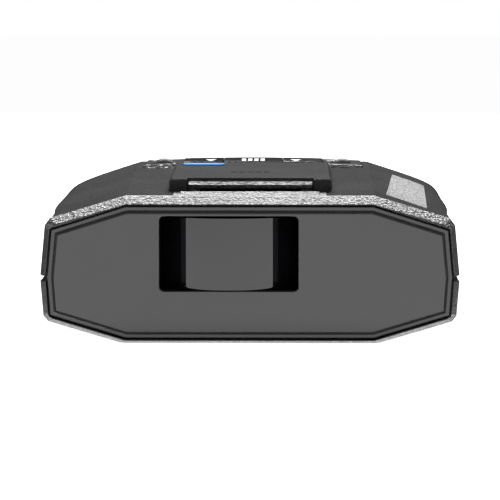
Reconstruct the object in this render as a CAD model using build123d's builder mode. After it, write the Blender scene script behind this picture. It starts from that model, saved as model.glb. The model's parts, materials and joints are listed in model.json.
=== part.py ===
"""Dashboard radar detector, in millimetres.

The case is two shells joined at a seam, with a matt skin on the roof, a smoked front window, a control deck
with five sprung buttons, a release bar over a slanted bracket slot, and a display in the rear face.

Axes: X across, Y from the front window towards the driver, Z up. The origin is under the middle of the case.
Sizes along the case are depths behind the front edge, and heights are above the base.
"""

import os
from collections import namedtuple
from math import asin, cos, radians, sin, tan

from build123d import *

# Overall size
body_length = 108.0
body_width = 74.9  # across the rim, where the case is widest
seam_height = 12.1
body_height = 29.0  # crown of the roof at its fullest section

# Clearances
fit_gap = 0.1  # between pieces that are fixed to each other
slide_gap = 0.2  # round every button
seat_gap = 0.05  # under plates that lie in a recess

# Case walls
wall = 2.2
front_ledge = 2.0  # depth at which the cavity starts, behind the window
rear_wall = 2.4
base_trim = 0.3  # sections reach this far below the base, which is then cut flat

# Front window's outline, from which every section of the case grows
rim_flare = 0.5
rim_depth = 3.0
rim_band_flare = 1.45
neck_depth = 4.2  # end of the rim
neck_flare = 1.3
full_flare = 1.4
window_height = 24.45
window_base_height = 1.05
window_low_height = 5.1
window_side_height = 11.9
window_up_height = 20.3
side_half = body_width / 2 - rim_band_flare
low_half = side_half - 0.5
up_half = side_half - 0.75
base_half = side_half - 13.9
crown_half = side_half - 14.0

# Rounding of the corners in every section
chin_cut = 0.8  # facet at the lower corner
cheek_drop = 0.4  # start of the rounding below the corner
cheek_run = 1.2  # where the roof's curve starts beyond the corner
shoulder_share = 0.09
roof_pull = 0.9  # how closely the roof's curve follows its control points
front_pull = 0.15

# Roof skin
skin_thickness = 0.8
skin_edge_height = 20.4
skin_rear_margin = 6.0

# Front window and laser lens
window_gap = 0.35  # dark gap all round it
window_setback = 0.5
window_thickness = 1.4
plateau_inset = 0.95
plateau_slope = 0.2
window_groove = 0.25  # groove round the foot of the raised middle
window_ledge = 0.85
lens_width = 24.8
lens_height = 13.4
lens_center_x = -3.7
lens_center_height = 16.1
lens_corner = 0.9
lens_radius = 16.0
lens_apex_depth = 0.9
lens_back_depth = 8.4
lens_top_gap = 0.5
collar_wall = 0.5

# Pocket cut through the skin
pocket_front_depth = 10.5
pocket_length = 39.5
pocket_inner_x = 24.5
pocket_outer_x = 31.8
pocket_taper = 2.2  # how far the inner side moves outward towards the rear
pocket_skew = 1.8  # how much nearer the front the outer corners are
pocket_outer_taper = 0.9

# Centre plate over the roof
plate_half_width = 14.6
plate_front_depth = 9.5
plate_front_height = 28.8
plate_seat_height = 25.8
plate_rise = 0.95  # rise of its top from front to back
plate_seat_rise = 1.9

# Control deck
deck_front_depth = 48.0
deck_length = 19.0
deck_half_width = 20.9
deck_crown_height = 29.6
deck_edge_height = 29.15
deck_base_height = 27.6
deck_hollow = 0.75
deck_ledge = 2.0
deck_opening_half = 20.4
deck_chamfer_run = 1.5
deck_chamfer_height = 28.5

# Buttons
key_travel = 0.4  # room that the switches leave under each key
key_depth = 56.6
key_length = 9.0
key_front_proud = 0.1  # height above the deck, rising towards the driver
key_rear_proud = 0.45
mute_half_width = 5.6
arrow_key_width = 7.6
dome_x = 17.2
dome_radius = 1.8
dome_proud = 0.75
key_flange = 0.7
flange_thickness = 0.6
stem_radius = 1.1

# Release bar and bracket slot
ramp_half_width = 12.4
ramp_depth = 6.0
ramp_height = 26.85
bar_half_width = 11.2
bar_depth = 9.85
bar_length = 2.7
bar_lower_height = 27.1
bar_face_height = 27.8
bar_top_height = 28.4
bar_leg_width = 2.0
crossbar_height = 20.6
crossbar_thickness = 1.6
latch_half_width = 3.0
latch_depth = 10.6
latch_length = 1.3
latch_engagement = 0.5
socket_half_width = 12.4
socket_front_depth = 8.8
socket_brow_depth = 6.4
socket_brow_height = 24.0
socket_step_depth = 14.4
socket_rear_depth = 23.0
socket_foot_height = 15.5
socket_shelf_height = 18.6
well_floor_height = 16.5
slot_half_width = 8.5
slot_thickness = 1.05
slot_slant = 22.0
slot_reach = 16.5
spring_x = 6.0
spring_radius = 0.8
spring_wire = 0.15
spring_turns = 4

# Seam between the shells
notch_height = 1.0
notch_depth = 1.2
lip_height = 0.9
lip_inset = 1.3

# Main board and its fixings
board_half_width = 28.0
board_front_depth = 10.0
board_rear_margin = 14.5
board_height = 5.4
board_thickness = 1.2
board_boss_radius = 2.2
board_screw_radius = 0.65
board_screw_length = 3.5
case_boss_radius = 2.7
case_screw_radius = 1.0
case_screw_length = 14.0
case_head_radius = 2.1
case_head_height = 1.5
case_head_recess = 0.6

# Radar horn
horn_inner_x = 13.2
horn_width = 18.6
horn_height = 12.4
horn_front_depth = 4.6
horn_throat_depth = 22.0
horn_throat_width = 11.0
horn_throat_height = 6.0
horn_rear_depth = 34.0
horn_wall = 0.8
shield_rear_depth = 58.0
shield_height = 4.2
shield_wall = 0.4

# Laser receiver
sensor_depth = 15.0
sensor_half_width = 10.0

# Sockets in the left side
socket_axis_height = 7.4
dc_depth = 46.0
earphone_depth = 58.0
usb_depth = 70.0
usb_width = 7.8
usb_height = 2.8
usb_shell = 0.3
bore_radius = 1.8
nose_radius = 2.2
nose_length = 5.0  # beyond the inside of the wall
jack_body_length = 8.0
jack_body_width = 6.0
jack_body_height = 4.6

# Speaker
speaker_x = 24.5
speaker_depth = 42.5
speaker_radius = 7.0
speaker_face_height = 21.5
speaker_thickness = 3.5
speaker_chamber = 2.2  # air space over the cone
magnet_radius = 4.2
magnet_height = 2.6
sound_slot_width = 0.8
sound_slot_pitch = 2.5
sound_slot_length = 6.0
sound_slot_shift = 1.0  # outward from under the speaker, clear of the label

# Key board
key_board_height = 22.6
key_board_thickness = 1.0
key_board_half_width = 20.0
key_board_front_depth = 50.5
key_board_rear_depth = 71.0
key_post_radius = 1.8
key_screw_radius = 0.55
switch_size = 4.4
switch_height = 1.2
plunger_radius = 0.9
plunger_height = 0.4
press_gap = 0.05  # left above each switch at the end of a key's travel

# Rear display
display_half_width = 22.0
display_low_height = 13.8
display_high_height = 20.4
display_thickness = 1.6
display_flange = 1.2
display_board_half_width = 24.0
display_board_margin = 8.0  # in front of the rear face
display_board_thickness = 1.2

# Connectors, ribbons and wires
connector_height = 1.6
display_connector_margin = 18.5  # in front of the rear face
key_connector_depth = 76.0
ribbon_width = 8.0
speaker_connector_x = 10.5
speaker_connector_depth = 51.0
wire_radius = 0.4

# Blank label under the case
label_width = 38.0
label_front_depth = 40.0
label_length = 24.0
label_recess = 0.2
label_thickness = 0.12

# Badge on the centre plate
badge_depth = 41.9
badge_x = -9.25
badge_width = 8.3
badge_length = 4.4
badge_recess = 0.4

front_y = -body_length / 2


def across(depth):
    """Plane of a cross-section: x across, y up. Extruding by a negative amount goes towards the rear."""
    return Plane(origin=(0, front_y + depth, 0), x_dir=(1, 0, 0), z_dir=(0, -1, 0))


def lengthwise(x=0.0):
    """Plane of a side profile: x is the depth behind the front edge, y is the height."""
    return Plane(origin=(x, front_y, 0), x_dir=(0, 1, 0), z_dir=(1, 0, 0))


def level(height):
    """Level plane: x across, y is the depth behind the front edge."""
    return Plane(origin=(0, front_y, height), x_dir=(1, 0, 0), z_dir=(0, 0, 1))


Station = namedtuple("Station", "depth flare crown_height crown_rise cheek bulge base_height")

rim_stations = [
    Station(0.0, rim_flare, window_height + rim_flare, 0.0, 0.3, 0.0, window_base_height - rim_flare),
    Station(rim_depth, rim_band_flare, window_height + 1.7, 0.0, 0.6, 0.0, -base_trim),
    Station(neck_depth, neck_flare, window_height + 1.8, 0.0, 0.6, 0.0, -base_trim),
]
body_stations = [
    rim_stations[-1],
    Station(12.0, full_flare, window_height + 2.35, 0.1, 0.5, 1.0, -base_trim),
    Station(47.0, full_flare, body_height - 0.45, 0.1, 0.2, 2.7, -base_trim),
    Station(61.0, full_flare, body_height, 0.1, 0.2, 2.75, -base_trim),
    Station(body_length - 32.0, full_flare - 0.4, body_height - 0.7, 0.2, 0.3, 2.7, -base_trim),
    Station(body_length - 2.5, full_flare - 2.6, body_height - 4.2, 0.2, 0.2, 2.6, -base_trim),
]
rear_stations = [
    body_stations[-1],
    Station(body_length, full_flare - 4.6, body_height - 6.4, 0.2, 0.2, 2.2, 1.6),
]


def moved_out(points, distance):
    """Corners of a closed anticlockwise outline after each side moves outward by distance."""
    moved = []
    for before, here, after in zip(points[-1:] + points[:-1], points, points[1:] + points[:1]):
        arriving = (here - before).normalized()
        leaving = (after - here).normalized()
        normal_in = Vector(arriving.Y, -arriving.X)
        normal_out = Vector(leaving.Y, -leaving.X)
        reach = distance / (1 + normal_in.dot(normal_out))
        moved.append(here + (normal_in + normal_out) * reach)
    return moved


def mirrored(point):
    return Vector(-point.X, point.Y)


def window_outline():
    """Corners of the front window, anticlockwise from the right end of its base."""
    right = [
        Vector(base_half, window_base_height),
        Vector(low_half, window_low_height),
        Vector(side_half, window_side_height),
        Vector(up_half, window_up_height),
        Vector(crown_half, window_height),
    ]
    return right + [mirrored(point) for point in reversed(right)]


def case_corners(station, inset):
    """Right-hand corners of the case at a station, from the base to the middle of the roof."""
    base, low, side, up, crown = moved_out(window_outline(), station.flare)[:5]
    base = Vector(base.X, station.base_height)
    crown = Vector(crown.X, station.crown_height)
    top = Vector(0, station.crown_height + station.crown_rise)
    right = [base, low, side, up, crown]
    left = [mirrored(point) for point in reversed(right)]
    return moved_out(right + [top] + left, -inset)[:6]


def draw_section(station, inset):
    """Draws the case's outline at a station, inside a sketch. The outer surface has a notch at the seam."""
    base, low, side, up, crown, top = case_corners(station, inset)
    side = Vector(side.X, seam_height)
    chin = [low + (end - low).normalized() * chin_cut for end in (base, side)]
    flank = [*chin, side]
    if inset == 0:
        below_notch = Vector(side.X, seam_height - notch_height)
        in_notch = Vector(side.X - notch_depth, seam_height)
        flank = [*chin, below_notch, in_notch, side]
    outward = Vector((crown - up).Y, (up - crown).X).normalized()
    cheek_low = up + (side - up).normalized() * cheek_drop
    cheek_high = up + (crown - up).normalized() * cheek_run + outward * station.cheek
    shoulder = up + (crown - up) * shoulder_share + outward * station.bulge
    up_control = cheek_high + (shoulder - cheek_high) * roof_pull
    crown_control = crown + (shoulder - crown) * roof_pull
    if station.bulge == 0:
        up_control = cheek_high + (crown - cheek_high) * front_pull
        crown_control = crown + (cheek_high - crown) * front_pull
    roof_control = Vector(0, 2 * top.Y - crown.Y)
    right = [base, *flank, cheek_low, cheek_high]
    left = [mirrored(point) for point in reversed(right)]
    with BuildLine() as outline:
        Polyline(*right)
        Bezier(cheek_high, up_control, crown_control, crown)
        Bezier(crown, roof_control, mirrored(crown))
        Bezier(mirrored(crown), mirrored(crown_control), mirrored(up_control), mirrored(cheek_high))
        Polyline(*left)
        Line(mirrored(base), base)
    make_face(outline.edges())


def envelope(inset):
    """The whole case as one solid, with its surface moved inward by inset."""
    with BuildPart() as solid:
        for stations, ruled in ((rim_stations, True), (body_stations, False), (rear_stations, True)):
            for station in stations:
                with BuildSketch(across(station.depth)):
                    draw_section(station, inset)
            loft(ruled=ruled)
    return solid.part


outer = envelope(0.0)
under_skin = envelope(skin_thickness)
lip_face = envelope(lip_inset)
lip_seat = envelope(lip_inset - fit_gap)
cavity_limits = Pos(0, (front_ledge - rear_wall) / 2, body_height / 2) * Box(
    2 * body_width, body_length - front_ledge - rear_wall, 2 * body_height
)
cavity = envelope(wall) & cavity_limits
cavity_clear = envelope(wall + fit_gap)

far = 2 * body_width
sky = 2 * body_height
side_x = -side_half - full_flare
jack_start = side_x + wall + nose_length
board_top = board_height + board_thickness
board_rear_depth = body_length - board_rear_margin
deck_rear_depth = deck_front_depth + deck_length
display_board_depth = body_length - display_board_margin
display_connector_depth = body_length - display_connector_margin
rear_screw_depth = body_length - 11.0
case_screw_spots = [(-20.0, 13.0), (-20.0, rear_screw_depth), (20.0, rear_screw_depth)]
board_screw_spots = [
    (-board_half_width + 3.0, 26.0),
    (9.0, 30.0),
    (-board_half_width + 3.0, board_rear_depth - 5.5),
    (board_half_width - 3.0, board_rear_depth - 5.5),
]
key_post_spots = [(-14.0, key_board_rear_depth - 2.2), (14.0, key_board_rear_depth - 2.2)]
key_xs = {
    "left_arrow_key": -mute_half_width - slide_gap - arrow_key_width / 2,
    "mute_key": 0.0,
    "right_arrow_key": mute_half_width + slide_gap + arrow_key_width / 2,
}


def seat_height(depth):
    """Height of the slanted seat under the centre plate."""
    share = (depth - plate_front_depth) / (deck_front_depth - plate_front_depth)
    return plate_seat_height + plate_seat_rise * share


def deck_crown(x):
    """Height of the deck's top, which falls away from the middle."""
    return deck_crown_height - (deck_crown_height - deck_edge_height) * (x / deck_half_width) ** 2


def plate_top(depth):
    """Height of the centre plate's top."""
    share = (depth - plate_front_depth) / (deck_front_depth - plate_front_depth)
    return plate_front_height + plate_rise * share


def slot_point(along, above):
    """Point on a side profile, measured along the bracket slot's floor and square to it."""
    slant = radians(slot_slant)
    depth = ramp_depth + along * cos(slant) + above * sin(slant)
    return depth, ramp_height - along * sin(slant) + above * cos(slant)


def slot_floor(depth):
    """Height of the bracket slot's floor."""
    return ramp_height - (depth - ramp_depth) * tan(radians(slot_slant))


def centered(half, middle=0.0):
    return (middle - half, middle + half)


def block(x_range, depth_range, height_range, mode=Mode.ADD):
    """Box between two x values, two depths and two heights."""
    ranges = (x_range, depth_range, height_range)
    middle = Vector(*[sum(limits) / 2 for limits in ranges])
    with Locations(middle + Vector(0, front_y)):
        Box(*[limits[1] - limits[0] for limits in ranges], mode=mode)


def rod(x, depth, height_range, radius, mode=Mode.ADD):
    """Upright cylinder between two heights."""
    low, high = height_range
    with Locations((x, front_y + depth, (low + high) / 2)):
        Cylinder(radius, high - low, mode=mode)


def side_rod(x_range, depth, height, radius, mode=Mode.ADD):
    """Cylinder lying across the case between two x values."""
    low, high = x_range
    with Locations(Location(((low + high) / 2, front_y + depth, height), (0, 90, 0))):
        Cylinder(radius, high - low, mode=mode)


def profile(corners):
    """Face with straight sides, drawn where the current sketch lies."""
    with BuildLine() as outline:
        Polyline(*corners, close=True)
    make_face(outline.edges())


def skin_layer(gap):
    """The layer of the roof taken up by the matt skin, drawn in by gap at its edges."""
    above = (skin_edge_height + gap, sky)
    front_center = ramp_half_width + 1.3 + gap
    center = plate_half_width + fit_gap + gap
    deck_side = deck_half_width + fit_gap + gap
    rear = body_length - skin_rear_margin - gap
    with BuildPart() as layer:
        add(outer)
        add(under_skin, mode=Mode.SUBTRACT)
        block(centered(far), (neck_depth + gap, rear), above, Mode.INTERSECT)
        block(centered(front_center), (0, plate_front_depth), above, Mode.SUBTRACT)
        plate_range = (plate_front_depth - fit_gap - gap, deck_front_depth)
        block(centered(center), plate_range, above, Mode.SUBTRACT)
        deck_range = (deck_front_depth - fit_gap - gap, deck_rear_depth + fit_gap + gap)
        block(centered(deck_side), deck_range, above, Mode.SUBTRACT)
        pocket_rear = pocket_front_depth + pocket_length
        with BuildSketch(level(skin_edge_height)):
            profile([
                (pocket_inner_x - gap, pocket_front_depth - gap),
                (pocket_outer_x + gap, pocket_front_depth - pocket_skew - gap),
                (pocket_outer_x + pocket_outer_taper + gap, pocket_rear - pocket_skew + gap),
                (pocket_inner_x + pocket_taper - gap, pocket_rear + gap),
            ])
        extrude(amount=body_height, mode=Mode.SUBTRACT)
    return layer.part


def plate_space(front, rear, gap):
    """Everything above the centre plate's seat, as a side profile."""
    profile([
        (front, seat_height(front) + gap),
        (rear, seat_height(rear) + gap),
        (rear, sky),
        (front, sky),
    ])


# Lower shell

with BuildPart() as lip:
    add(lip_face)
    lip_range = (seam_height - wall, seam_height + lip_height)
    block(centered(far), (front_ledge, body_length - lip_inset), lip_range, Mode.INTERSECT)
    add(cavity, mode=Mode.SUBTRACT)

with BuildPart() as lower_bosses:
    for spot in board_screw_spots:
        rod(*spot, (0.5, board_height), board_boss_radius)
    for spot in case_screw_spots:
        rod(*spot, (0.5, seam_height), case_boss_radius)
    add(outer, mode=Mode.INTERSECT)

with BuildPart() as lower_housing:
    add(outer)
    split(bisect_by=Plane.XY.offset(seam_height), keep=Keep.BOTTOM)
    split(bisect_by=Plane.XY, keep=Keep.TOP)
    add(cavity, mode=Mode.SUBTRACT)
    add(lip.part)
    add(lower_bosses.part)
    with BuildSketch(across(0)):
        profile(moved_out(window_outline(), window_gap))
    extrude(amount=-front_ledge, mode=Mode.SUBTRACT)
    for spot in board_screw_spots:
        pilot = (board_height - board_screw_length, board_height + 1.0)
        rod(*spot, pilot, board_screw_radius + seat_gap, Mode.SUBTRACT)
    for spot in case_screw_spots:
        rod(*spot, (-1.0, seam_height + lip_height), case_screw_radius + fit_gap, Mode.SUBTRACT)
        head_space = (-1.0, case_head_recess + case_head_height)
        rod(*spot, head_space, case_head_radius + slide_gap, Mode.SUBTRACT)
    for depth in (dc_depth, earphone_depth):
        nose_hole = (side_x - 1.0, jack_start)
        side_rod(nose_hole, depth, socket_axis_height, nose_radius + fit_gap, Mode.SUBTRACT)
    usb_range = centered(usb_width / 2 + fit_gap, usb_depth)
    usb_heights = centered(usb_height / 2 + fit_gap, socket_axis_height)
    block((side_x - 1.0, side_x + wall + 2.0), usb_range, usb_heights, Mode.SUBTRACT)
    for step in (-1, 0, 1):
        slot_range = centered(sound_slot_width / 2, speaker_depth + step * sound_slot_pitch)
        slot_x_range = centered(sound_slot_length / 2, speaker_x + sound_slot_shift)
        block(slot_x_range, slot_range, (-1.0, board_height), Mode.SUBTRACT)
    label_range = (label_front_depth, label_front_depth + label_length)
    block(centered(label_width / 2), label_range, (-1.0, label_recess), Mode.SUBTRACT)

# Upper shell and its skin

with BuildPart() as lip_space:
    add(lip_seat)
    lip_heights = (seam_height - wall, seam_height + lip_height + fit_gap)
    lip_depths = (front_ledge, body_length - lip_inset + fit_gap)
    block(centered(far), lip_depths, lip_heights, Mode.INTERSECT)
    add(cavity, mode=Mode.SUBTRACT)

with BuildPart() as upper_posts:
    for spot in case_screw_spots:
        rod(*spot, (seam_height + seat_gap, sky), case_boss_radius)
    for spot in key_post_spots:
        rod(*spot, (key_board_height + key_board_thickness + seat_gap, sky), key_post_radius)
    rod(speaker_x, speaker_depth, (speaker_face_height - speaker_thickness, sky), speaker_radius + 1.2)
    add(under_skin, mode=Mode.INTERSECT)

with BuildPart() as upper_housing:
    add(outer)
    split(bisect_by=Plane.XY.offset(seam_height), keep=Keep.TOP)
    for depth, top_height in ((0, window_height + rim_flare), (ramp_depth, ramp_height)):
        with BuildSketch(across(depth)):
            profile([
                (-ramp_half_width - 1.0, window_height),
                (ramp_half_width + 1.0, window_height),
                (ramp_half_width, top_height),
                (-ramp_half_width, top_height),
            ])
    loft(ruled=True)
    add(cavity, mode=Mode.SUBTRACT)
    add(upper_posts.part)
    with BuildSketch(across(0)):
        profile(moved_out(window_outline(), window_gap))
    extrude(amount=-front_ledge, mode=Mode.SUBTRACT)
    add(lip_space.part, mode=Mode.SUBTRACT)
    add(skin_layer(0.0), mode=Mode.SUBTRACT)
    for spot in case_screw_spots:
        pilot = (seam_height, case_head_recess + case_head_height + case_screw_length + 0.5)
        rod(*spot, pilot, case_screw_radius + seat_gap, Mode.SUBTRACT)
    for spot in key_post_spots:
        pilot = (key_board_height, key_board_height + 3.5)
        rod(*spot, pilot, key_screw_radius + seat_gap, Mode.SUBTRACT)
    with BuildSketch(lengthwise()):
        plate_space(plate_front_depth - fit_gap, deck_front_depth, 0.0)
    extrude(amount=plate_half_width + fit_gap, both=True, mode=Mode.SUBTRACT)
    socket_range = (socket_brow_depth - fit_gap, socket_rear_depth + fit_gap)
    block(centered(socket_half_width + fit_gap), socket_range, (socket_foot_height, sky), Mode.SUBTRACT)
    deck_range = (deck_front_depth - fit_gap, deck_rear_depth + fit_gap)
    deck_seat = (deck_base_height, sky)
    block(centered(deck_half_width + fit_gap), deck_range, deck_seat, Mode.SUBTRACT)
    opening_range = (deck_front_depth + deck_ledge, deck_rear_depth - deck_ledge)
    opening_heights = (key_board_height, sky)
    block(centered(deck_opening_half), opening_range, opening_heights, Mode.SUBTRACT)
    speaker_seat = (seam_height, speaker_face_height)
    rod(speaker_x, speaker_depth, speaker_seat, speaker_radius + slide_gap, Mode.SUBTRACT)
    chamber = (speaker_face_height, speaker_face_height + speaker_chamber)
    rod(speaker_x, speaker_depth, chamber, speaker_radius - 0.8, Mode.SUBTRACT)
    window_range = (body_length - rear_wall - 1.0, body_length + 1.0)
    window_heights = (display_low_height, display_high_height)
    block(centered(display_half_width), window_range, window_heights, Mode.SUBTRACT)

with BuildPart() as top_skin:
    add(skin_layer(seat_gap))

# Front window, laser lens and its frame

lens_x_range = centered(lens_width / 2, lens_center_x)
lens_heights = centered(lens_height / 2, lens_center_height)

with BuildPart() as front_window:
    with BuildSketch(across(window_setback)):
        profile(window_outline())
    extrude(amount=-window_thickness)
    with BuildSketch(across(window_setback)):
        profile(moved_out(window_outline(), -plateau_inset))
    with BuildSketch(across(0)):
        profile(moved_out(window_outline(), -plateau_inset - plateau_slope))
    loft(ruled=True)
    with BuildSketch(across(window_setback)):
        profile(moved_out(window_outline(), window_groove - plateau_inset))
        with BuildLine() as foot:
            Polyline(*moved_out(window_outline(), -plateau_inset), close=True)
        make_face(foot.edges(), mode=Mode.SUBTRACT)
    extrude(amount=-window_groove, mode=Mode.SUBTRACT)
    window_back = window_setback + window_thickness
    block(lens_x_range, (-1.0, window_back + 1.0), lens_heights, Mode.SUBTRACT)
    corners = front_window.edges().filter_by(Axis.Y).filter_by(
        lambda edge: abs(edge.center().X - lens_center_x) < lens_width / 2 + 0.1
        and abs(edge.center().Z - lens_center_height) < lens_height / 2 + 0.1
    )
    fillet(corners, lens_corner)

with BuildPart() as window_adhesive:
    with BuildSketch(across(window_back)):
        profile(moved_out(window_outline(), -seat_gap))
        with BuildLine() as hole:
            Polyline(*moved_out(window_outline(), -window_ledge), close=True)
        make_face(hole.edges(), mode=Mode.SUBTRACT)
    extrude(amount=-(front_ledge - window_back))

frame_range = (front_ledge + seat_gap, lens_back_depth)
with BuildPart() as lens_frame:
    block(
        centered(lens_width / 2 + collar_wall, lens_center_x),
        frame_range,
        centered(lens_height / 2 + collar_wall, lens_center_height),
    )
    fillet(lens_frame.edges().filter_by(Axis.Y), lens_corner)
    add(cavity_clear, mode=Mode.INTERSECT)
    block(lens_x_range, (0, lens_back_depth + 1.0), lens_heights, Mode.SUBTRACT)

with BuildPart() as laser_lens:
    lens_middle = lens_apex_depth + lens_radius
    lens_low = lens_center_height - lens_height / 2 + fit_gap
    lens_high = lens_center_height + lens_height / 2 - lens_top_gap
    rod(lens_center_x, lens_middle, (lens_low, lens_high), lens_radius)
    lens_span = (0, lens_back_depth - fit_gap)
    block(
        centered(lens_width / 2 - fit_gap, lens_center_x), lens_span, lens_heights, Mode.INTERSECT
    )

with BuildPart() as laser_board:
    sensor_range = (sensor_depth, sensor_depth + board_thickness)
    sensor_heights = (board_top + seat_gap, socket_foot_height - fit_gap)
    block(centered(sensor_half_width, lens_center_x), sensor_range, sensor_heights)

with BuildPart() as laser_photodiode:
    diode_height = (sensor_heights[0] + sensor_heights[1]) / 2
    block(
        centered(2.2, lens_center_x), (sensor_depth - 1.2, sensor_depth), centered(2.2, diode_height)
    )

# Radar horn and its shielding can

with BuildPart() as horn_antenna:
    horn_low = board_top + seat_gap
    horn_middle = horn_inner_x + horn_width / 2
    for inset, mode in ((0.0, Mode.ADD), (horn_wall, Mode.SUBTRACT)):
        mouth = (horn_width / 2 - inset, horn_height - 2 * inset)
        throat = (horn_throat_width / 2 - inset, horn_throat_height - 2 * inset)
        ends = ((horn_front_depth - inset, mouth), (horn_throat_depth, throat))
        for depth, (half, height) in ends:
            with BuildSketch(across(depth)):
                with Locations((horn_middle, horn_low + inset)):
                    Rectangle(2 * half, height, align=(Align.CENTER, Align.MIN))
        loft(ruled=True, mode=mode)
    block(
        centered(horn_throat_width / 2, horn_middle),
        (horn_throat_depth, horn_rear_depth),
        (horn_low, horn_low + horn_throat_height),
    )
    block(
        centered(horn_throat_width / 2 - horn_wall, horn_middle),
        (horn_throat_depth - 0.1, horn_rear_depth - horn_wall),
        (horn_low + horn_wall, horn_low + horn_throat_height - horn_wall),
        Mode.SUBTRACT,
    )

with BuildPart() as rf_shield:
    shield_half = horn_width / 2 - 1.0
    shield_range = (horn_rear_depth + 1.0, shield_rear_depth)
    block(centered(shield_half, horn_middle), shield_range, (horn_low, horn_low + shield_height))
    inside = (shield_range[0] + shield_wall, shield_range[1] - shield_wall)
    can_heights = (horn_low - 1.0, horn_low + shield_height - shield_wall)
    block(centered(shield_half - shield_wall, horn_middle), inside, can_heights, Mode.SUBTRACT)

# Main board

with BuildPart() as main_board:
    with BuildSketch(level(board_height)):
        profile([
            (-board_half_width + 4.0, board_front_depth),
            (board_half_width - 4.0, board_front_depth),
            (board_half_width, board_front_depth + 4.0),
            (board_half_width, board_rear_depth - 4.0),
            (board_half_width - 4.0, board_rear_depth),
            (-board_half_width + 4.0, board_rear_depth),
            (-board_half_width, board_rear_depth - 4.0),
            (-board_half_width, board_front_depth + 4.0),
        ])
    extrude(amount=board_thickness)
    for spot in board_screw_spots:
        rod(*spot, (board_height, board_top), board_screw_radius + fit_gap, Mode.SUBTRACT)
    rod(*case_screw_spots[0], (board_height, board_top), case_boss_radius + slide_gap, Mode.SUBTRACT)
    for depth in (dc_depth, earphone_depth, usb_depth):
        notch = centered(jack_body_width / 2 + slide_gap, depth)
        notch_x = (-far, jack_start + jack_body_length + slide_gap)
        block(notch_x, notch, (board_height, board_top), Mode.SUBTRACT)

with BuildPart() as board_chips:
    for x, depth, size, height in (
        (-8.0, 44.0, 10.0, 1.4),
        (-6.0, 62.0, 12.0, 1.6),
        (10.0, 72.0, 9.0, 1.2),
        (-10.0, 80.0, 6.0, 1.0),
    ):
        block(centered(size / 2, x), centered(size / 2, depth), (board_top + seat_gap, board_top + height))

with BuildPart() as board_capacitors:
    for x, depth, radius in ((-14.0, 34.0, 2.5), (21.0, 66.0, 3.1), (-16.0, 84.0, 2.5), (14.0, 84.0, 2.5)):
        rod(x, depth, (board_top + seat_gap, board_top + 6.0), radius)

with BuildPart() as board_screws:
    for spot in board_screw_spots:
        rod(*spot, (board_top, board_top + 1.0), 1.6)
        rod(*spot, (board_top - board_screw_length, board_top), board_screw_radius)

with BuildPart() as case_screws:
    for spot in case_screw_spots:
        head_top = case_head_recess + case_head_height
        rod(*spot, (case_head_recess, head_top), case_head_radius)
        rod(*spot, (head_top, head_top + case_screw_length), case_screw_radius)
        block(centered(1.5, spot[0]), centered(0.3, spot[1]), (0, case_head_recess + 0.6), Mode.SUBTRACT)
        block(centered(0.3, spot[0]), centered(1.5, spot[1]), (0, case_head_recess + 0.6), Mode.SUBTRACT)

# Sockets in the left side

nose_start = side_x + 0.6
jack_heights = centered(jack_body_height / 2, socket_axis_height)
jack_x_range = (jack_start + seat_gap, jack_start + jack_body_length)

with BuildPart() as earphone_jack:
    block(jack_x_range, centered(jack_body_width / 2, earphone_depth), jack_heights)
    side_rod((nose_start, jack_x_range[0]), earphone_depth, socket_axis_height, nose_radius)
    bore_range = (nose_start - 1.0, jack_x_range[1] - 0.8)
    side_rod(bore_range, earphone_depth, socket_axis_height, bore_radius, Mode.SUBTRACT)

with BuildPart() as dc_jack:
    block(jack_x_range, centered(jack_body_width / 2, dc_depth), jack_heights)
    side_rod((nose_start, jack_x_range[0]), dc_depth, socket_axis_height, nose_radius)
    side_rod(bore_range, dc_depth, socket_axis_height, bore_radius, Mode.SUBTRACT)
    side_rod((nose_start + 1.0, bore_range[1]), dc_depth, socket_axis_height, 0.6)

with BuildPart() as usb_socket:
    usb_range = centered(usb_width / 2, usb_depth)
    usb_heights = centered(usb_height / 2, socket_axis_height)
    usb_x_range = (nose_start, nose_start + 6.0)
    block(usb_x_range, usb_range, usb_heights)
    usb_hollow = (nose_start - 1.0, usb_x_range[1] - 0.6)
    hollow_range = centered(usb_width / 2 - usb_shell, usb_depth)
    hollow_heights = centered(usb_height / 2 - usb_shell, socket_axis_height)
    block(usb_hollow, hollow_range, hollow_heights, Mode.SUBTRACT)
    block((nose_start + 1.0, usb_x_range[1]), centered(2.4, usb_depth), centered(0.35, socket_axis_height))

# Centre plate, badge and bracket socket

with BuildPart() as center_plate:
    with BuildSketch(lengthwise()):
        profile([
            (plate_front_depth, seat_height(plate_front_depth) + seat_gap),
            (deck_front_depth - fit_gap, seat_height(deck_front_depth) + seat_gap),
            (deck_front_depth - fit_gap, plate_front_height + plate_rise),
            (plate_front_depth, plate_front_height),
        ])
    extrude(amount=plate_half_width, both=True)
    chamfer(center_plate.faces().sort_by(Axis.Z)[-1].edges(), 0.3)
    notch_range = (0, bar_depth + bar_length + slide_gap)
    block(centered(bar_half_width + slide_gap), notch_range, (socket_foot_height, sky), Mode.SUBTRACT)
    with BuildSketch(level(plate_top(badge_depth) - badge_recess)):
        with Locations((badge_x, badge_depth)):
            SlotOverall(badge_width, badge_length)
    extrude(amount=sky, mode=Mode.SUBTRACT)

with BuildPart() as badge:
    with BuildSketch(level(plate_top(badge_depth) - badge_recess)):
        with Locations((badge_x, badge_depth)):
            SlotOverall(badge_width - 2 * fit_gap, badge_length - 2 * fit_gap)
    extrude(amount=badge_recess + 0.25)
    fillet(badge.faces().sort_by(Axis.Z)[-1].edges(), 0.15)

well_range = (bar_depth - slide_gap, bar_depth + bar_length + slide_gap)

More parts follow.
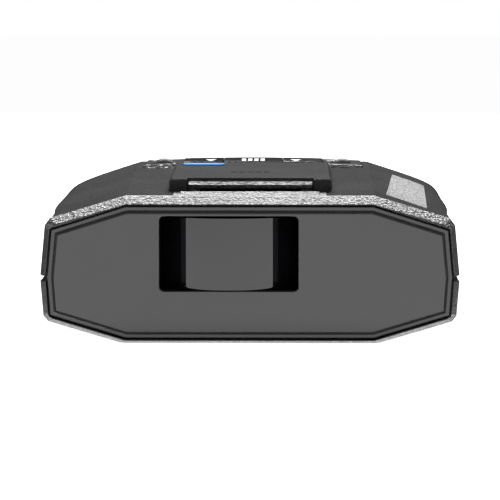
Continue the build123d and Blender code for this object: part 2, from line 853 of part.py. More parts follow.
with BuildPart() as bracket_socket:
    with BuildSketch(lengthwise()):
        profile([
            (socket_brow_depth, socket_brow_height),
            (socket_front_depth, socket_brow_height),
            (socket_front_depth, socket_foot_height),
            (socket_step_depth, socket_foot_height),
            (socket_step_depth, socket_shelf_height),
            (socket_rear_depth, socket_shelf_height),
            (socket_rear_depth, seat_height(socket_rear_depth)),
            (socket_brow_depth, seat_height(socket_brow_depth)),
        ])
    extrude(amount=socket_half_width, both=True)
    block(centered(bar_half_width + slide_gap), well_range, (well_floor_height, sky), Mode.SUBTRACT)
    with BuildSketch(lengthwise()):
        profile([
            slot_point(0.0, 0.0),
            slot_point(slot_reach, 0.0),
            slot_point(slot_reach, slot_thickness),
            slot_point(0.0, slot_thickness),
        ])
    extrude(amount=slot_half_width, both=True, mode=Mode.SUBTRACT)

with BuildPart() as release_bar:
    bar_rear = bar_depth + bar_length
    with BuildSketch(lengthwise()):
        profile([
            (bar_depth, bar_lower_height),
            (bar_rear, bar_lower_height),
            (bar_rear, bar_top_height),
            (bar_depth, bar_face_height),
        ])
    extrude(amount=bar_half_width, both=True)
    for side in (-1, 1):
        leg = centered(bar_leg_width / 2, side * (bar_half_width - bar_leg_width / 2))
        block(leg, (bar_depth + 0.15, bar_rear), (crossbar_height, bar_lower_height))
    crossbar_top = crossbar_height + crossbar_thickness
    block(centered(bar_half_width), (bar_depth + 0.15, bar_rear), (crossbar_height, crossbar_top))
    latch_rear = latch_depth + latch_length
    with BuildSketch(lengthwise()):
        profile([
            (latch_depth, crossbar_height),
            (latch_rear, crossbar_height),
            (latch_rear, slot_floor(latch_rear) + latch_engagement),
            (latch_depth, slot_floor(latch_depth) + latch_engagement),
        ])
    extrude(amount=latch_half_width, both=True)

with BuildPart() as release_springs:
    spring_low = well_floor_height + seat_gap + spring_wire
    spring_high = crossbar_height - seat_gap - spring_wire
    spring_height = spring_high - spring_low
    spring_depth = bar_depth + bar_length / 2
    for x in (-spring_x, spring_x):
        with BuildLine() as coil:
            foot = (x, front_y + spring_depth, spring_low)
            Helix(spring_height / spring_turns, spring_height, spring_radius, center=foot)
        with BuildSketch(Plane(origin=coil.line @ 0, z_dir=coil.line % 0)):
            Circle(spring_wire)
        sweep(path=coil.line)

# Control deck and buttons

def draw_crown(half, low, rise):
    """Cross-section with the deck's curved top, raised by rise."""
    with BuildLine() as outline:
        Polyline((-half, deck_crown(half) + rise), (-half, low), (half, low), (half, deck_crown(half) + rise))
        ThreePointArc(
            (half, deck_crown(half) + rise), (0, deck_crown(0) + rise), (-half, deck_crown(half) + rise)
        )
    make_face(outline.edges())


deck_ceiling = deck_base_height + deck_hollow
key_range = centered(key_length / 2, key_depth)

with BuildPart() as control_deck:
    with BuildSketch(across(deck_front_depth)):
        draw_crown(deck_half_width, deck_base_height + seat_gap, 0.0)
    extrude(amount=-deck_length)
    with BuildSketch(lengthwise()):
        profile([
            (deck_front_depth - 1.0, sky),
            (deck_front_depth - 1.0, deck_chamfer_height),
            (deck_front_depth, deck_chamfer_height),
            (deck_front_depth + deck_chamfer_run, deck_crown_height),
            (deck_front_depth + deck_chamfer_run, sky),
        ])
    extrude(amount=far, both=True, mode=Mode.SUBTRACT)
    hollow_range = (deck_front_depth + deck_ledge + fit_gap, deck_rear_depth - deck_ledge - fit_gap)
    hollow = (deck_base_height, deck_ceiling)
    block(centered(deck_opening_half), hollow_range, hollow, Mode.SUBTRACT)
    keys_half = mute_half_width + arrow_key_width + 2 * slide_gap
    keys_range = (key_range[0] - slide_gap, key_range[1] + slide_gap)
    block(centered(keys_half), keys_range, (deck_base_height, sky), Mode.SUBTRACT)
    for x in (-dome_x, dome_x):
        rod(x, key_depth, (deck_base_height, sky), dome_radius + slide_gap, Mode.SUBTRACT)

keys = {}
flange_top = deck_ceiling - seat_gap
stem_foot = key_board_height + key_board_thickness + switch_height + plunger_height + key_travel + press_gap
for name, x in key_xs.items():
    half = mute_half_width if name == "mute_key" else arrow_key_width / 2
    with BuildPart() as key:
        for depth, proud in zip(key_range, (key_front_proud, key_rear_proud)):
            with BuildSketch(across(depth)):
                draw_crown(keys_half, flange_top - flange_thickness, proud)
        loft(ruled=True)
        block(centered(half, x), key_range, (0, sky), Mode.INTERSECT)
        flange_range = (key_range[0] - key_flange, key_range[1] + key_flange)
        flange_heights = (flange_top - flange_thickness, flange_top)
        block(centered(half, x), flange_range, flange_heights)
        rod(x, key_depth, (stem_foot, flange_top), stem_radius)
    keys[name] = key.part

for name, x in (("left_dome_button", -dome_x), ("right_dome_button", dome_x)):
    rim = deck_crown(dome_x) + 0.1
    arc_radius = (dome_radius ** 2 + dome_proud ** 2) / (2 * dome_proud)
    turn = asin(dome_radius / arc_radius) / 2
    shoulder = (x + arc_radius * sin(turn), rim + dome_proud - arc_radius * (1 - cos(turn)))
    with BuildPart() as key:
        with BuildSketch(across(key_depth)):
            with BuildLine():
                Polyline(
                    (x, rim + dome_proud),
                    (x, rim - 1.0),
                    (x + dome_radius, rim - 1.0),
                    (x + dome_radius, rim),
                )
                ThreePointArc((x + dome_radius, rim), shoulder, (x, rim + dome_proud))
            make_face()
        revolve(axis=Axis((x, front_y + key_depth, 0), (0, 0, 1)))
        rod(x, key_depth, (flange_top - flange_thickness, rim - 1.0), dome_radius)
        rod(x, key_depth, (flange_top - flange_thickness, flange_top), dome_radius + key_flange)
        rod(x, key_depth, (stem_foot, flange_top), stem_radius)
    keys[name] = key.part

# Key board and switches

switch_xs = [-dome_x, *key_xs.values(), dome_x]
key_board_top = key_board_height + key_board_thickness

with BuildPart() as key_board:
    key_board_range = (key_board_front_depth, key_board_rear_depth)
    block(centered(key_board_half_width), key_board_range, (key_board_height, key_board_top))
    for spot in key_post_spots:
        rod(*spot, (key_board_height, key_board_top), key_screw_radius + fit_gap, Mode.SUBTRACT)

with BuildPart() as key_switches:
    for x in switch_xs:
        body_top = key_board_top + switch_height
        half = centered(switch_size / 2, key_depth)
        block(centered(switch_size / 2, x), half, (key_board_top, body_top))
        rod(x, key_depth, (body_top, body_top + plunger_height), plunger_radius)

with BuildPart() as key_board_screws:
    for spot in key_post_spots:
        rod(*spot, (key_board_height - 0.8, key_board_height), 1.4)
        rod(*spot, (key_board_height, key_board_height + 3.2), key_screw_radius)

# Speaker

speaker_low = speaker_face_height - speaker_thickness + 0.5

with BuildPart() as speaker_frame:
    face = speaker_face_height - seat_gap
    rod(speaker_x, speaker_depth, (speaker_low, face), speaker_radius)
    rod(speaker_x, speaker_depth, (speaker_low + 0.8, face), speaker_radius - 0.7, Mode.SUBTRACT)

with BuildPart() as speaker_magnet:
    rod(speaker_x, speaker_depth, (speaker_low - magnet_height, speaker_low), magnet_radius)

with BuildPart() as speaker_cone:
    cone_low = speaker_low + 1.0
    cone_high = speaker_face_height - 0.4
    for drop, mode in ((0.0, Mode.ADD), (0.4, Mode.SUBTRACT)):
        with Locations((speaker_x, front_y + speaker_depth, cone_low + drop)):
            Cone(
                2.0, speaker_radius - 0.9, cone_high - cone_low,
                align=(Align.CENTER, Align.CENTER, Align.MIN), mode=mode,
            )

# Rear display

with BuildPart() as display_window:
    inside_face = body_length - rear_wall
    flange_half = display_half_width + display_flange
    flange_heights = (display_low_height - display_flange + 0.5, display_high_height + display_flange)
    block(centered(flange_half), (inside_face - display_thickness, inside_face - seat_gap), flange_heights)
    pane = (display_low_height + fit_gap, display_high_height - fit_gap)
    block(centered(display_half_width - fit_gap), (inside_face - 1.0, body_length - 0.3), pane)

with BuildPart() as display_module:
    module_front = inside_face - display_thickness - fit_gap
    module_range = (display_board_depth + display_board_thickness, module_front)
    module_heights = (display_low_height - 0.5, display_high_height + 0.5)
    block(centered(display_half_width + 0.8), module_range, module_heights)

with BuildPart() as display_board:
    board_range = (display_board_depth, display_board_depth + display_board_thickness)
    block(centered(display_board_half_width), board_range, (board_top, display_high_height + 1.0))

with BuildPart() as rating_label:
    block(
        centered(label_width / 2 - fit_gap),
        (label_front_depth + fit_gap, label_front_depth + label_length - fit_gap),
        (label_recess - label_thickness, label_recess),
    )

# Ribbons and wires

connector_top = board_top + connector_height
ribbons = {
    "display_ribbon": [
        (display_connector_depth + 1.3, connector_top - 0.6),
        (display_board_depth - 3.0, connector_top - 0.6),
        (display_board_depth - 5.0, display_low_height + 3.0),
        (display_board_depth - 0.2, display_low_height + 3.0),
    ],
    "key_ribbon": [
        (key_connector_depth, connector_top + 0.1),
        (key_connector_depth, connector_top + 7.0),
        (key_board_rear_depth - 5.0, key_board_height - 8.0),
        (key_board_rear_depth - 5.0, key_board_height - 0.1),
    ],
}
for name, controls in ribbons.items():
    with BuildPart() as ribbon:
        with BuildSketch(lengthwise()):
            with BuildLine():
                Bezier(*controls)
            trace(line_width=0.25)
        extrude(amount=ribbon_width / 2, both=True)
    keys[name] = ribbon.part

with BuildPart() as board_connectors:
    for x, depth, width in (
        (0.0, display_connector_depth, ribbon_width + 2.0),
        (0.0, key_connector_depth, ribbon_width + 2.0),
        (speaker_connector_x, speaker_connector_depth, 4.0),
    ):
        block(centered(width / 2, x), centered(1.2, depth), (board_top + seat_gap, connector_top))

with BuildPart() as speaker_wires:
    for side in (-0.8, 0.8):
        top = (speaker_x - 5.6, front_y + speaker_depth + side, speaker_low - seat_gap)
        foot = (speaker_connector_x + side, front_y + speaker_connector_depth, connector_top + seat_gap)
        with BuildLine() as wire:
            Bezier(top, Vector(*top) - Vector(0, 0, 5.0), Vector(*foot) + Vector(0, 0, 6.0), foot)
        with BuildSketch(Plane(origin=wire.line @ 0, z_dir=wire.line % 0)):
            Circle(wire_radius)
        sweep(path=wire.line)

parts = {
    "lower_housing": lower_housing,
    "upper_housing": upper_housing,
    "top_skin": top_skin,
    "front_window": front_window,
    "window_adhesive": window_adhesive,
    "lens_frame": lens_frame,
    "laser_lens": laser_lens,
    "laser_board": laser_board,
    "laser_photodiode": laser_photodiode,
    "horn_antenna": horn_antenna,
    "rf_shield": rf_shield,
    "main_board": main_board,
    "board_chips": board_chips,
    "board_capacitors": board_capacitors,
    "board_screws": board_screws,
    "case_screws": case_screws,
    "earphone_jack": earphone_jack,
    "dc_jack": dc_jack,
    "usb_socket": usb_socket,
    "center_plate": center_plate,
    "badge": badge,
    "bracket_socket": bracket_socket,
    "release_bar": release_bar,
    "release_springs": release_springs,
    "control_deck": control_deck,
    "key_board": key_board,
    "key_switches": key_switches,
    "key_board_screws": key_board_screws,
    "speaker_frame": speaker_frame,
    "speaker_magnet": speaker_magnet,
    "speaker_cone": speaker_cone,
    "display_window": display_window,
    "display_module": display_module,
    "display_board": display_board,
    "board_connectors": board_connectors,
    "speaker_wires": speaker_wires,
    "rating_label": rating_label,
}

os.makedirs("parts", exist_ok=True)
solids = {name: builder.part for name, builder in parts.items()}
solids.update(keys)
for name, solid in solids.items():
    solid.label = name
    export_step(solid, f"parts/{name}.step")
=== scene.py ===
"""Dashboard radar detector: the camera, the studio, the finish of every piece and the printed marks."""

import json

import bmesh
import bpy
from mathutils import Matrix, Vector
from mathutils.bvhtree import BVHTree


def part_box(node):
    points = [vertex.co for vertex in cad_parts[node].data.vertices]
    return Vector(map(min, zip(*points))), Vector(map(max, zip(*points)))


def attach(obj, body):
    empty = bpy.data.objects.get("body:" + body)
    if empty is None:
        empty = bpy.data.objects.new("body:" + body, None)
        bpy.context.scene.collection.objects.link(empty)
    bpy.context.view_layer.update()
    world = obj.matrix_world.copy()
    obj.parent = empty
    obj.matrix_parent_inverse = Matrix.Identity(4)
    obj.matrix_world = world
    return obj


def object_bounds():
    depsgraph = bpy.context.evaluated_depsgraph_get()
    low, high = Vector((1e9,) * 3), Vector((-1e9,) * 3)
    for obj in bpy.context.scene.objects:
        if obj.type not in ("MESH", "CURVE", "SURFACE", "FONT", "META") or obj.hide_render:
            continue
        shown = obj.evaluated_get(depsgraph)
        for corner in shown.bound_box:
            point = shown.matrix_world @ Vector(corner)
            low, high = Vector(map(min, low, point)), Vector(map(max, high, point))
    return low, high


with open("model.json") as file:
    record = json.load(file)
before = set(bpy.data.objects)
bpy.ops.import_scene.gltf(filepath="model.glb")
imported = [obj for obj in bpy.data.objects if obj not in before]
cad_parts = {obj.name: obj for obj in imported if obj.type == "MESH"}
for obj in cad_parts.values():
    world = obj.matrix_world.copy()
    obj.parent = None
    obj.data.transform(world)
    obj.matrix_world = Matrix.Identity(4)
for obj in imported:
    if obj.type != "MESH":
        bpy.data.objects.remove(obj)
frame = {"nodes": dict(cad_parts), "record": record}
cad_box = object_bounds()

MM = 0.001
low, high = (Vector(corner) for corner in cad_box)
nodes = frame["nodes"]


# Materials. Sizes of grain are in metres.

def new_material(name):
    """A node material, its tree and its main shader."""
    material = bpy.data.materials.new(name)
    material.use_nodes = True
    tree = material.node_tree
    return material, tree, tree.nodes["Principled BSDF"]


def add_noise(tree, size, detail=2.0, roughness=0.5):
    """Noise in the object's own space, with features of about the given size."""
    place = tree.nodes.new("ShaderNodeTexCoord")
    noise = tree.nodes.new("ShaderNodeTexNoise")
    noise.inputs["Scale"].default_value = 1.0 / size
    noise.inputs["Detail"].default_value = detail
    noise.inputs["Roughness"].default_value = roughness
    tree.links.new(place.outputs["Object"], noise.inputs["Vector"])
    return noise.outputs["Fac"]


def add_cells(tree, size):
    """Distance to the nearest of many scattered points, for a pebbled grain."""
    place = tree.nodes.new("ShaderNodeTexCoord")
    cells = tree.nodes.new("ShaderNodeTexVoronoi")
    cells.feature = "SMOOTH_F1"
    cells.inputs["Scale"].default_value = 1.0 / size
    cells.inputs["Smoothness"].default_value = 0.6
    tree.links.new(place.outputs["Object"], cells.inputs["Vector"])
    return cells.outputs["Distance"]


def add_ramp(tree, value, stops):
    """Colour ramp over a value. stops are (position, grey or colour)."""
    ramp = tree.nodes.new("ShaderNodeValToRGB")
    for index, (position, color) in enumerate(stops):
        element = ramp.color_ramp.elements[index] if index < 2 else ramp.color_ramp.elements.new(position)
        element.position = position
        element.color = (*color, 1.0) if isinstance(color, tuple) else (color, color, color, 1.0)
    tree.links.new(value, ramp.inputs["Fac"])
    return ramp.outputs["Color"]


def add_math(tree, operation, first, second):
    """A math node over two values, each a socket or a number."""
    node = tree.nodes.new("ShaderNodeMath")
    node.operation = operation
    for socket, value in zip(node.inputs, (first, second)):
        if isinstance(value, float):
            socket.default_value = value
        else:
            tree.links.new(value, socket)
    return node.outputs["Value"]


def add_bump(tree, shader, height, depth):
    """Bumps of a depth in metres, which a height from nought to one drives."""
    bump = tree.nodes.new("ShaderNodeBump")
    bump.inputs["Distance"].default_value = depth
    tree.links.new(height, bump.inputs["Height"])
    tree.links.new(bump.outputs["Normal"], shader.inputs["Normal"])


def scaled(color, factor):
    """A colour made darker or lighter."""
    return tuple(channel * factor for channel in color)


def moulded(name, color, roughness, grain, depth, specular=0.5, variation=0.15, rubbed=0.0, valleys=0.0):
    """Moulded plastic with a spark-eroded grain, slightly uneven in colour, shinier where it is rubbed.
    valleys is how much rougher the bottoms of the grain are than its tops."""
    material, tree, shader = new_material(name)
    patches = add_noise(tree, 16.0 * MM, 4.0)
    specks = add_noise(tree, grain, 2.0)
    tint = add_math(tree, "MULTIPLY", add_math(tree, "ADD", patches, specks), 0.5)
    stops = [(0.4, scaled(color, 1 - variation)), (0.6, scaled(color, 1 + variation))]
    tree.links.new(add_ramp(tree, tint, stops), shader.inputs["Base Color"])
    shader.inputs["Specular IOR Level"].default_value = specular
    wear = add_noise(tree, 9.0 * MM, 3.0)
    gloss = add_ramp(tree, wear, [(0.4, roughness), (0.75, max(roughness - rubbed, 0.05))])
    cells = add_cells(tree, grain)
    worn = add_math(tree, "ADD", gloss, add_math(tree, "MULTIPLY", cells, valleys))
    tree.links.new(worn, shader.inputs["Roughness"])
    pebbles = add_math(tree, "MULTIPLY", cells, -1.0)
    fine = add_math(tree, "MULTIPLY", add_noise(tree, 0.4 * grain, 3.0, 0.6), 0.6)
    add_bump(tree, shader, add_math(tree, "ADD", pebbles, fine), depth)
    return material


def polished(name, color, roughness, ior=1.5):
    """Smooth moulded plastic with faint smears."""
    material, tree, shader = new_material(name)
    tint = add_noise(tree, 20.0 * MM, 3.0)
    stops = [(0.3, scaled(color, 0.96)), (0.7, scaled(color, 1.04))]
    tree.links.new(add_ramp(tree, tint, stops), shader.inputs["Base Color"])
    shader.inputs["IOR"].default_value = ior
    smear = add_noise(tree, 11.0 * MM, 3.0)
    gloss = add_ramp(tree, smear, [(0.4, roughness), (0.7, roughness + 0.03)])
    tree.links.new(gloss, shader.inputs["Roughness"])
    return material


def metal(name, color, roughness):
    """Bare metal, a little uneven in tone and gloss."""
    material, tree, shader = new_material(name)
    shader.inputs["Metallic"].default_value = 1.0
    tint = add_noise(tree, 2.5 * MM, 3.0)
    stops = [(0.3, scaled(color, 0.85)), (0.7, color)]
    tree.links.new(add_ramp(tree, tint, stops), shader.inputs["Base Color"])
    gloss = add_ramp(tree, add_noise(tree, 1.2 * MM, 2.0), [(0.3, roughness), (0.7, roughness + 0.08)])
    tree.links.new(gloss, shader.inputs["Roughness"])
    return material


def paint_front_edge_highlight(material, flat, edge, face):
    """Changes the gloss where the surface tips forward, so that the front edge shows a painted highlight set
    by which way the surface faces.
    flat, edge and face are each (specular level, roughness), of the top, its rounded edge and the front."""
    tree = material.node_tree
    shader = tree.nodes["Principled BSDF"]
    split = tree.nodes.new("ShaderNodeSeparateXYZ")
    tree.links.new(tree.nodes.new("ShaderNodeNewGeometry").outputs["Normal"], split.inputs["Vector"])
    tip = add_math(tree, "MULTIPLY", split.outputs["Y"], -1.0)
    for index, name in enumerate(("Specular IOR Level", "Roughness")):
        stops = [(0.15, flat[index]), (0.22, edge[index]), (0.4, edge[index]), (0.5, face[index])]
        tree.links.new(add_ramp(tree, tip, stops), shader.inputs[name])


materials = {
    "shell_grain": moulded("shell_grain", (0.022, 0.022, 0.024), 0.3, 0.5 * MM, 0.3 * MM,
                           specular=1.0, variation=0.3, rubbed=0.06, valleys=0.5),
    "skin_matt": moulded("skin_matt", (0.027, 0.027, 0.029), 0.8, 0.6 * MM, 0.12 * MM,
                          specular=0.03, variation=0.3),
    "plate_satin": moulded("plate_satin", (0.022, 0.022, 0.024), 0.75, 0.5 * MM, 0.12 * MM, variation=0.3),
    "window_smoke": polished("window_smoke", (0.062, 0.062, 0.062), 0.04),
    "lens_smoke": polished("lens_smoke", (0.004, 0.0035, 0.005), 0.03, 1.7),
    "frame_black": moulded("frame_black", (0.003, 0.003, 0.003), 0.8, 0.4 * MM, 0.02 * MM, specular=0.1),
    "bar_grain": moulded("bar_grain", (0.02, 0.02, 0.022), 0.28, 0.8 * MM, 0.4 * MM,
                          specular=0.6, variation=0.4, rubbed=0.08, valleys=0.7),
    "key_gloss": polished("key_gloss", (0.03, 0.03, 0.032), 0.14),
    "dome_smoke": polished("dome_smoke", (0.07, 0.07, 0.08), 0.4, 1.2),
    "badge_blue": polished("badge_blue", (0.05, 0.4, 1.0), 0.35, 1.2),
    "board_green": moulded("board_green", (0.02, 0.16, 0.07), 0.35, 0.9 * MM, 0.02 * MM),
    "chip_black": moulded("chip_black", (0.02, 0.02, 0.02), 0.5, 0.3 * MM, 0.02 * MM),
    "capacitor_can": metal("capacitor_can", (0.65, 0.65, 0.67), 0.3),
    "cast_metal": metal("cast_metal", (0.55, 0.55, 0.56), 0.5),
    "tinned_steel": metal("tinned_steel", (0.62, 0.62, 0.6), 0.3),
    "screw_steel": metal("screw_steel", (0.1, 0.1, 0.105), 0.35),
    "spring_steel": metal("spring_steel", (0.55, 0.55, 0.56), 0.25),
    "jack_black": polished("jack_black", (0.012, 0.012, 0.012), 0.2),
    "diode_dark": polished("diode_dark", (0.02, 0.005, 0.012), 0.05),
    "ribbon_white": moulded("ribbon_white", (0.7, 0.69, 0.64), 0.5, 0.6 * MM, 0.02 * MM, variation=0.05),
    "wire_red": moulded("wire_red", (0.45, 0.02, 0.02), 0.45, 0.6 * MM, 0.02 * MM),
    "cone_paper": moulded("cone_paper", (0.05, 0.05, 0.05), 0.8, 0.4 * MM, 0.1 * MM),
    "display_glass": polished("display_glass", (0.006, 0.006, 0.009), 0.04),
    "adhesive_black": moulded("adhesive_black", (0.006, 0.006, 0.006), 0.9, 0.3 * MM, 0.1 * MM, specular=0.1),
    "label_paper": moulded("label_paper", (0.5, 0.51, 0.52), 0.4, 0.8 * MM, 0.01 * MM, variation=0.03),
}
# Painted highlight: the centre plate's forward-tipping front edge is made glossier by which way it faces.
paint_front_edge_highlight(materials["plate_satin"], (0.03, 0.75), (0.9, 0.3), (0.2, 0.6))
print_white = moulded("print_white", (0.8, 0.8, 0.8), 0.4, 0.2 * MM, 0.004 * MM, variation=0.03)

node_slot = {subpart["node"]: subpart["material_slot"] for subpart in frame["record"]["subparts"]}
for node, piece in nodes.items():
    for material_slot in piece.material_slots:
        material_slot.material = materials[node_slot[node]]


# Rounded edges on the moulded pieces

def round_edges(node, radius):
    """Rounds the sharp edges of a CAD node with modifiers, leaving its own mesh as it is."""
    weld = nodes[node].modifiers.new("weld", "WELD")
    weld.merge_threshold = 0.001 * MM
    bevel = nodes[node].modifiers.new("bevel", "BEVEL")
    bevel.width = radius
    bevel.segments = 3
    bevel.limit_method = "ANGLE"
    bevel.angle_limit = 0.6
    bevel.harden_normals = True


for node, radius in (
    ("front_window", 0.15 * MM),
    ("center_plate", 0.35 * MM),
    ("control_deck", 0.12 * MM),
    ("release_bar", 0.12 * MM),
    ("left_arrow_key", 0.15 * MM),
    ("mute_key", 0.15 * MM),
    ("right_arrow_key", 0.15 * MM),
):
    round_edges(node, radius)


# Printed marks, and a painted highlight strip, laid on the surfaces they belong to

def surface_of(node):
    """A search tree over a CAD node's surface."""
    mesh = nodes[node].data
    faces = [tuple(face.vertices) for face in mesh.polygons]
    return BVHTree.FromPolygons([vertex.co for vertex in mesh.vertices], faces)


def height_at(surface, x, y, above):
    """Height of a surface under a point, or of the nearest point of it where there is a gap."""
    hit = surface.ray_cast(Vector((x, y, above)), Vector((0, 0, -1)))[0]
    return (hit or surface.find_nearest(Vector((x, y, above)))[0]).z


def print_and_highlight_decal(name, node, body, outlines, material, thickness=0.03 * MM, cuts=3):
    """Thin shapes that follow a node's surface, for printed marks and for a painted highlight strip. outlines
    are lists of (x, y).
    """
    surface = surface_of(node)
    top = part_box(node)[1][2] + 1.0 * MM
    shape = bmesh.new()
    for outline in outlines:
        shape.faces.new([shape.verts.new((x, y, 0)) for x, y in outline])
    bmesh.ops.triangulate(shape, faces=shape.faces)
    bmesh.ops.subdivide_edges(shape, edges=shape.edges, cuts=cuts, use_grid_fill=True)
    grown = bmesh.ops.extrude_face_region(shape, geom=shape.faces[:])["geom"]
    raised = {item for item in grown if isinstance(item, bmesh.types.BMVert)}
    for vertex in shape.verts:
        lift = thickness if vertex in raised else -thickness
        vertex.co.z = height_at(surface, vertex.co.x, vertex.co.y, top) + lift
    bmesh.ops.recalc_face_normals(shape, faces=shape.faces)
    mesh = bpy.data.meshes.new(name)
    shape.to_mesh(mesh)
    shape.free()
    mesh.materials.append(material)
    piece = bpy.data.objects.new(name, mesh)
    bpy.context.scene.collection.objects.link(piece)
    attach(piece, body)


def bar(x, y, width, length):
    """Outline of an upright rectangle about a middle point."""
    return [
        (x - width / 2, y - length / 2),
        (x + width / 2, y - length / 2),
        (x + width / 2, y + length / 2),
        (x - width / 2, y + length / 2),
    ]


def arrow(x, y, width, length):
    """Triangle that points towards the front."""
    return [(x, y - length / 2), (x + width / 2, y + length / 2), (x - width / 2, y + length / 2)]


def row(count, start, step):
    """Places along the width of evenly spaced marks."""
    return [start + step * index for index in range(count)]


key_low, key_high = (Vector(corner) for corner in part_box("mute_key"))
key_y = (key_low.y + key_high.y) / 2
deck_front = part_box("control_deck")[0][1]
plate_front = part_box("center_plate")[0][1]

ARROW_X = 8.2 * MM
for side, key in ((-1, "left_arrow_key"), (1, "right_arrow_key")):
    outline = arrow(side * ARROW_X, key_y - 1.5 * MM, 2.1 * MM, 4.2 * MM)
    print_and_highlight_decal(key + "_mark", key, key, [outline], print_white)

mute_bars = [bar(x, key_y - 0.9 * MM, 0.8 * MM, 4.8 * MM) for x in row(4, -1.8 * MM, 1.2 * MM)]
print_and_highlight_decal("mute_key_mark", "mute_key", "mute_key", mute_bars, print_white)

dots_y = deck_front + 3.4 * MM
left_dots = [bar(x, dots_y, 0.45 * MM, 1.6 * MM) for x in row(5, -15.2 * MM, 0.9 * MM)]
right_dots = [bar(x, dots_y, 0.5 * MM, 1.6 * MM) for x in row(3, 12.3 * MM, 1.0 * MM)]
print_and_highlight_decal("deck_marks", "control_deck", "case", left_dots + right_dots, print_white)

dashes_y = plate_front + 16.0 * MM
dashes = [bar(x, dashes_y, 1.1 * MM, 2.4 * MM) for x in row(5, -3.2 * MM, 1.5 * MM)]
print_and_highlight_decal("plate_marks", "center_plate", "case", dashes, materials["adhesive_black"])

# Painted highlight: a strip of the bar's glossier grained plastic on the left of the deck's front chamfer
# only, where the chamfer catches light.
strip = [bar(-17.8 * MM, deck_front + 0.75 * MM, 5.6 * MM, 1.3 * MM)]
print_and_highlight_decal("deck_painted_highlight", "control_deck", "case", strip, materials["bar_grain"], cuts=6)


# Camera

SENSOR_WIDTH = 36.0  # this and the focal length are in mm, as a camera has them
FOCAL_LENGTH = 244.08
DISTANCE = 600.0 * MM
EYE_X = 8.0 * MM
EYE_HEIGHT = 65.45 * MM
AIM = (-0.0132006, 1.0, -0.0810619)

camera_data = bpy.data.cameras.new("camera")
camera_data.sensor_width = SENSOR_WIDTH
camera_data.lens = FOCAL_LENGTH
camera_data.clip_start = 0.01
camera = bpy.data.objects.new("camera", camera_data)
camera.location = (EYE_X, low.y - DISTANCE, EYE_HEIGHT)
camera.rotation_euler = Vector(AIM).to_track_quat("-Z", "Y").to_euler()
bpy.context.scene.collection.objects.link(camera)
bpy.context.scene.camera = camera
bpy.context.scene.view_settings.view_transform = "Standard"


# Studio

CASE_MIDDLE = (0.0, 0.0, 20.0 * MM)


def soft_light(name, spot, size, power):
    """Panel light that faces the case. size is its width and height in metres, power is in watts."""
    data = bpy.data.lights.new(name, "AREA")
    data.shape = "RECTANGLE"
    data.size, data.size_y = size
    data.energy = power
    panel = bpy.data.objects.new(name, data)
    panel.location = spot
    panel.rotation_euler = (Vector(CASE_MIDDLE) - Vector(spot)).to_track_quat("-Z", "Y").to_euler()
    bpy.context.scene.collection.objects.link(panel)


def glowing(name, color, strength):
    """Evenly lit studio paper."""
    material, _, shader = new_material(name)
    shader.inputs["Base Color"].default_value = (*color, 1.0)
    shader.inputs["Roughness"].default_value = 1.0
    shader.inputs["Specular IOR Level"].default_value = 0.0
    shader.inputs["Emission Color"].default_value = (1.0, 1.0, 1.0, 1.0)
    shader.inputs["Emission Strength"].default_value = strength
    return material


def stage_mesh(name, corners, faces, material):
    """A studio piece that isn't part of the object."""
    mesh = bpy.data.meshes.new(name)
    mesh.from_pydata(corners, [], faces)
    mesh.materials.append(material)
    piece = bpy.data.objects.new(name, mesh)
    bpy.context.scene.collection.objects.link(piece)
    return piece


def seen_only_by(piece, kept):
    """Hides a studio piece from every kind of ray but one."""
    for kind in ("camera", "diffuse", "glossy", "transmission", "volume_scatter", "shadow"):
        setattr(piece, "visible_" + kind, kind == kept)


def card(name, x_range, y_range, strength):
    """A card on the floor that only reflections see."""
    corners = [(x, y, floor_z + CARD_LIFT) for x in x_range for y in y_range]
    piece = stage_mesh(name, corners, [(0, 2, 3, 1)], glowing(name, (0.0, 0.0, 0.0), strength))
    seen_only_by(piece, "glossy")


# The sky is bright overhead and ahead of the case, and dim elsewhere
world = bpy.data.worlds.new("studio")
bpy.context.scene.world = world
world.use_nodes = True
sky = world.node_tree
direction = sky.nodes.new("ShaderNodeTexCoord").outputs["Generated"]
split = sky.nodes.new("ShaderNodeSeparateXYZ")
sky.links.new(direction, split.inputs["Vector"])


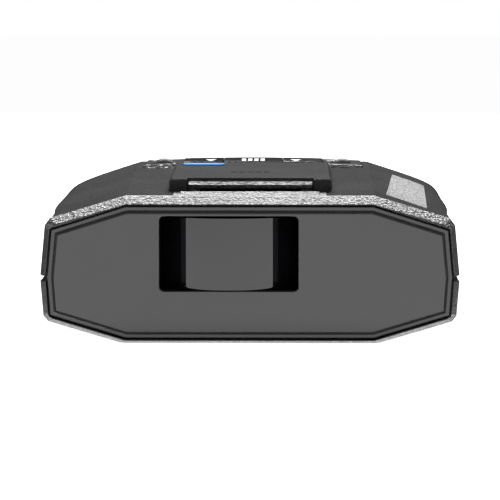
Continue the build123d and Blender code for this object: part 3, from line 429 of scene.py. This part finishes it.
def soft_step(value, start, end, top):
    """Rises smoothly from nothing to top as a value passes from start to end."""
    step = sky.nodes.new("ShaderNodeMapRange")
    step.interpolation_type = "SMOOTHSTEP"
    sky.links.new(value, step.inputs["Value"])
    for name, number in (("From Min", start), ("From Max", end), ("To Min", 0.0), ("To Max", top)):
        step.inputs[name].default_value = number
    return step.outputs["Result"]


DIM_SKY = 0.04
overhead = soft_step(split.outputs["Z"], 0.3, 0.65, 0.9)
ahead = soft_step(add_math(sky, "MULTIPLY", split.outputs["Y"], -1.0), 0.2, 0.85, 0.8)
glow = add_math(sky, "ADD", add_math(sky, "ADD", overhead, ahead), DIM_SKY)
sky.links.new(glow, sky.nodes["Background"].inputs["Strength"])

SQUARE = ((-1, -1), (1, -1), (1, 1), (-1, 1))
FLOOR_HALF = 3.0
floor_z = low.z - 0.2 * MM
floor_corners = [(x * FLOOR_HALF, y * FLOOR_HALF, floor_z) for x, y in SQUARE]
stage_mesh("floor", floor_corners, [(0, 1, 2, 3)], glowing("floor_paper", (0.6, 0.6, 0.6), 0.95))

# White walls that only the camera sees
ROOM = 6.0
room_corners = [(x * ROOM, y * ROOM, z * ROOM) for z in (-1, 1) for x, y in SQUARE]
room_faces = [(0, 1, 2, 3), (4, 5, 6, 7), (0, 1, 5, 4), (1, 2, 6, 5), (2, 3, 7, 6), (3, 0, 4, 7)]
room = stage_mesh("room", room_corners, room_faces, glowing("room_paper", (0.0, 0.0, 0.0), 1.0))
seen_only_by(room, "camera")

# Black cards keep the sides dark, and a bright one under the case lights its lower rim
CARD_LIFT = 0.05 * MM
CARD_INNER = 45.0 * MM
CARD_OUTER = 400.0 * MM
side_card_ys = (low.y + 20.0 * MM, 1200.0 * MM)
card("left_card", (-CARD_OUTER, -CARD_INNER), side_card_ys, 0.0)
card("right_card", (CARD_INNER, CARD_OUTER), side_card_ys, 0.0)
card("under_card", (-44.0 * MM, 44.0 * MM), (low.y, low.y + 40.0 * MM), 2.5)

# One light above and behind, for the rim and the bar, and a small one above the front
LIGHT_HEIGHT = 500.0 * MM
soft_light("top_light", (0.0, 550.0 * MM, LIGHT_HEIGHT), (0.5, 0.3), 9.5)
soft_light("front_light", (100.0 * MM, low.y - 450.0 * MM, LIGHT_HEIGHT), (0.12, 0.12), 1.2)
